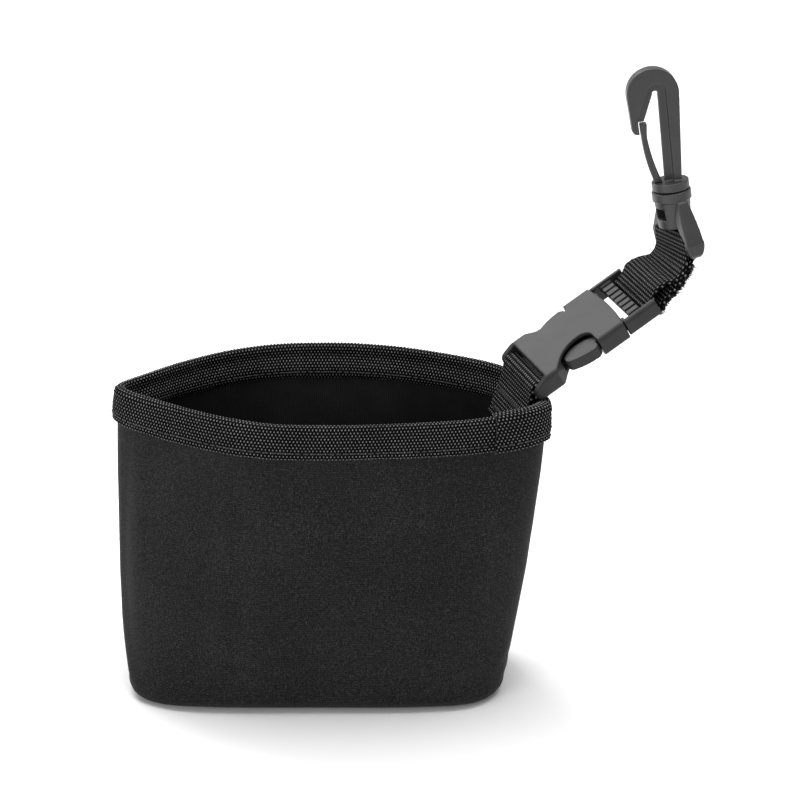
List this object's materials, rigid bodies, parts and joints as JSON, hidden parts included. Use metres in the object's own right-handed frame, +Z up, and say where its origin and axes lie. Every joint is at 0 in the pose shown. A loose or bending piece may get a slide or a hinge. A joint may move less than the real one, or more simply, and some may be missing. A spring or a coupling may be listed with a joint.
{
  "type": "treat pouch",
  "caption": "Open padded fabric pouch with a folded woven rim binding, hung by short webbing loops from a side-release buckle and a plastic swivel snap hook.",
  "frame": {"origin": "underside of the base, below the middle of the bag", "axes": "+Z up through the open mouth, +X towards the strap and buckle, +Y to the back of the bag"},
  "size_m": [0.2223, 0.0835, 0.2401],
  "materials": {
    "pouch_fabric": "matt coated woven nylon",
    "lining_fabric": "smooth coated lining",
    "binding_tape": "woven tape",
    "thread": "polyester thread",
    "webbing": "ribbed nylon webbing",
    "buckle_plastic": "satin moulded acetal",
    "hook_plastic": "satin moulded nylon"
  },
  "bodies": {
    "pouch": {"front_panel": "pouch_fabric", "back_panel": "pouch_fabric", "lining_front": "lining_fabric", "lining_back": "lining_fabric", "rim_binding": "binding_tape", "binding_thread_outer": "thread", "binding_thread_inner": "thread", "side_seam_thread_left": "thread", "side_seam_thread_right": "thread", "base_seam_thread": "thread", "anchor_strap": "webbing", "anchor_bartack": "thread"},
    "socket": {"buckle_socket": "buckle_plastic"},
    "plug": {"buckle_plug": "buckle_plastic"},
    "prong_left": {"plug_prong_left": "buckle_plastic"},
    "prong_right": {"plug_prong_right": "buckle_plastic"},
    "strap": {"hook_strap": "webbing", "hook_strap_stitching": "thread"},
    "eye": {"swivel_eye": "hook_plastic"},
    "hook": {"hook_body": "hook_plastic"},
    "gate": {"hook_gate": "hook_plastic"}
  },
  "joints": [
    {"name": "buckle_swing", "type": "hinge", "parent": "pouch", "child": "socket", "pos_m": [0.07823, -0.00086, 0.12771], "axis": [0.3974, -0.9136, -0.0866], "range_deg": [-25, 60]},
    {"name": "buckle_pull", "type": "slide", "parent": "socket", "child": "plug", "axis": [0.8116, 0.3058, 0.4978], "range_m": [0, 0.03], "deforming": ["plug_prong_left", "plug_prong_right"]},
    {"name": "prong_left_squeeze", "type": "hinge", "parent": "plug", "child": "prong_left", "pos_m": [0.10603, 0.02323, 0.15014], "axis": [-0.4282, -0.2681, 0.863], "range_deg": [0, 6.5], "stiffness_Nm_per_rad": 0.5},
    {"name": "prong_right_squeeze", "type": "hinge", "parent": "plug", "child": "prong_right", "pos_m": [0.11628, -0.00034, 0.14791], "axis": [0.4282, 0.2681, -0.863], "range_deg": [0, 6.5], "stiffness_Nm_per_rad": 0.5},
    {"name": "strap_swing", "type": "hinge", "parent": "plug", "child": "strap", "pos_m": [0.12027, 0.01499, 0.15349], "axis": [0.3974, -0.9136, -0.0866], "range_deg": [-60, 45]},
    {"name": "eye_swing", "type": "hinge", "parent": "strap", "child": "eye", "pos_m": [0.1354, 0.021, 0.1721], "axis": [0.4003, -0.9096, 0.1113], "range_deg": [-60, 60]},
    {"name": "hook_swivel", "type": "hinge", "parent": "eye", "child": "hook", "pos_m": [0.13222, 0.02223, 0.19358], "axis": [-0.1461, 0.0565, 0.9877], "continuous": true},
    {"name": "gate_flex", "type": "hinge", "parent": "hook", "child": "gate", "pos_m": [0.12884, 0.02225, 0.19667], "axis": [-0.0542, 0.9964, -0.0651], "range_deg": [0, 10], "stiffness_Nm_per_rad": 0.3}
  ]
}
